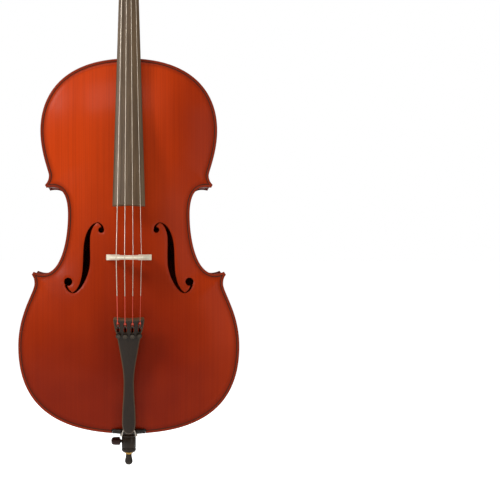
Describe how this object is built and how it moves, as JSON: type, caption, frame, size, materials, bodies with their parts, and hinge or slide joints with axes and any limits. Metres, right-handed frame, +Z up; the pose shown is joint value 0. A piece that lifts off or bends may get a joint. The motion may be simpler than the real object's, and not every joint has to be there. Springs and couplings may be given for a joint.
{
  "type": "cello",
  "caption": "full-size bowed string instrument: arched hollow body with f-holes, neck and scroll, turning pegs, lever fine tuners and an endpin that slides out and is clamped by a thumb screw",
  "frame": {"origin": "bottom of the rubber endpin tip, on the endpin's axis, which lies midway between the plates", "axes": "+Z up from endpin to scroll, -Y towards the strings and f-holes, +X the treble (A string) side"},
  "size_m": [0.445, 0.2705, 1.3051],
  "materials": {
    "varnished_spruce": "glossy orange-red spirit varnish over straight spruce grain",
    "varnished_maple": "glossy red-brown varnish over faint flame",
    "varnished_rib": "glossy red-brown varnish",
    "bare_maple": "oiled, satin, honey-yellow",
    "bare_spruce": "planed, matt",
    "bridge_maple": "planed, satin, fine flecks",
    "ebony": "oiled, satin, very dark brown",
    "black_fitting": "satin black-brown moulded composite",
    "dark_knob": "polished dark brown",
    "rubber": "matt",
    "brass": "polished",
    "steel": "polished",
    "string_metal": "wound and polished",
    "tailgut_cord": "braided cord"
  },
  "bodies": {
    "corpus": {"neck_and_scroll": "bare_maple", "fingerboard": "ebony", "nut": "ebony", "tailpiece": "black_fitting", "tuner_axle": "steel", "top_plate": "varnished_spruce", "back_plate": "varnished_maple", "rib_upper_bass": "varnished_rib", "rib_middle_bass": "varnished_rib", "rib_lower_bass": "varnished_rib", "rib_upper_treble": "varnished_rib", "rib_middle_treble": "varnished_rib", "rib_lower_treble": "varnished_rib", "neck_block": "bare_spruce", "end_block": "bare_spruce", "corner_block_upper_bass": "bare_spruce", "corner_block_lower_bass": "bare_spruce", "corner_block_upper_treble": "bare_spruce", "corner_block_lower_treble": "bare_spruce", "lining_upper_bass_top": "bare_spruce", "lining_upper_treble_top": "bare_spruce", "lining_middle_bass_top": "bare_spruce", "lining_middle_treble_top": "bare_spruce", "lining_lower_bass_top": "bare_spruce", "lining_lower_treble_top": "bare_spruce", "lining_upper_bass_back": "bare_spruce", "lining_upper_treble_back": "bare_spruce", "lining_middle_bass_back": "bare_spruce", "lining_middle_treble_back": "bare_spruce", "lining_lower_bass_back": "bare_spruce", "lining_lower_treble_back": "bare_spruce", "sound_post": "bare_spruce", "bass_bar": "bare_spruce", "bridge": "bridge_maple", "string_c": "string_metal", "string_g": "string_metal", "string_d": "string_metal", "string_a": "string_metal", "saddle": "ebony", "tailgut": "tailgut_cord", "endpin_plug": "black_fitting", "endpin_bushing": "brass"},
    "peg_c": {"peg_c": "ebony"},
    "peg_a": {"peg_a": "ebony"},
    "peg_g": {"peg_g": "ebony"},
    "peg_d": {"peg_d": "ebony"},
    "tuner_lever_c": {"tuner_lever_c": "steel"},
    "tuner_screw_c": {"tuner_screw_c": "black_fitting"},
    "tuner_lever_g": {"tuner_lever_g": "steel"},
    "tuner_screw_g": {"tuner_screw_g": "black_fitting"},
    "tuner_lever_d": {"tuner_lever_d": "steel"},
    "tuner_screw_d": {"tuner_screw_d": "black_fitting"},
    "tuner_lever_a": {"tuner_lever_a": "steel"},
    "tuner_screw_a": {"tuner_screw_a": "black_fitting"},
    "endpin": {"endpin_rod": "steel", "endpin_tip": "rubber"},
    "thumb_screw": {"thumb_screw": "dark_knob"}
  },
  "joints": [
    {"name": "peg_c_turn", "type": "hinge", "parent": "corpus", "child": "peg_c", "pos_m": [0, -0.01801, 1.13647], "axis": [-1, 0, 0], "continuous": true},
    {"name": "peg_g_turn", "type": "hinge", "parent": "corpus", "child": "peg_g", "pos_m": [0, -0.00951, 1.18676], "axis": [-1, 0, 0], "continuous": true},
    {"name": "peg_d_turn", "type": "hinge", "parent": "corpus", "child": "peg_d", "pos_m": [0, -0.00534, 1.21141], "axis": [1, 0, 0], "continuous": true},
    {"name": "peg_a_turn", "type": "hinge", "parent": "corpus", "child": "peg_a", "pos_m": [0, -0.01384, 1.16112], "axis": [1, 0, 0], "continuous": true},
    {"name": "endpin_extend", "type": "slide", "parent": "corpus", "child": "endpin", "axis": [0, 0, -1], "range_m": [0, 0.38]},
    {"name": "thumb_screw_turn", "type": "hinge", "parent": "corpus", "child": "thumb_screw", "pos_m": [0, 0, 0.0486], "axis": [-1, 0, 0], "range_deg": [0, 720]},
    {"name": "tuner_c_lever", "type": "hinge", "parent": "corpus", "child": "tuner_lever_c", "pos_m": [-0.02102, -0.12648, 0.28933], "axis": [1, 0, 0], "range_deg": [0, 8]},
    {"name": "tuner_c_turn", "type": "hinge", "parent": "corpus", "child": "tuner_screw_c", "pos_m": [-0.02102, -0.13743, 0.27402], "axis": [0, 0.9668, 0.2557], "range_deg": [0, 1440]},
    {"name": "tuner_g_lever", "type": "hinge", "parent": "corpus", "child": "tuner_lever_g", "pos_m": [-0.00701, -0.12648, 0.28933], "axis": [1, 0, 0], "range_deg": [0, 8]},
    {"name": "tuner_g_turn", "type": "hinge", "parent": "corpus", "child": "tuner_screw_g", "pos_m": [-0.00701, -0.13743, 0.27402], "axis": [0, 0.9668, 0.2557], "range_deg": [0, 1440]},
    {"name": "tuner_d_lever", "type": "hinge", "parent": "corpus", "child": "tuner_lever_d", "pos_m": [0.00701, -0.12648, 0.28933], "axis": [1, 0, 0], "range_deg": [0, 8]},
    {"name": "tuner_d_turn", "type": "hinge", "parent": "corpus", "child": "tuner_screw_d", "pos_m": [0.00701, -0.13743, 0.27402], "axis": [0, 0.9668, 0.2557], "range_deg": [0, 1440]},
    {"name": "tuner_a_lever", "type": "hinge", "parent": "corpus", "child": "tuner_lever_a", "pos_m": [0.02102, -0.12648, 0.28933], "axis": [1, 0, 0], "range_deg": [0, 8]},
    {"name": "tuner_a_turn", "type": "hinge", "parent": "corpus", "child": "tuner_screw_a", "pos_m": [0.02102, -0.13743, 0.27402], "axis": [0, 0.9668, 0.2557], "range_deg": [0, 1440]}
  ],
  "couplings": [
    {"joint": "tuner_c_turn", "follows": "tuner_c_lever", "ratio": 180},
    {"joint": "tuner_g_turn", "follows": "tuner_g_lever", "ratio": 180},
    {"joint": "tuner_d_turn", "follows": "tuner_d_lever", "ratio": 180},
    {"joint": "tuner_a_turn", "follows": "tuner_a_lever", "ratio": 180}
  ]
}
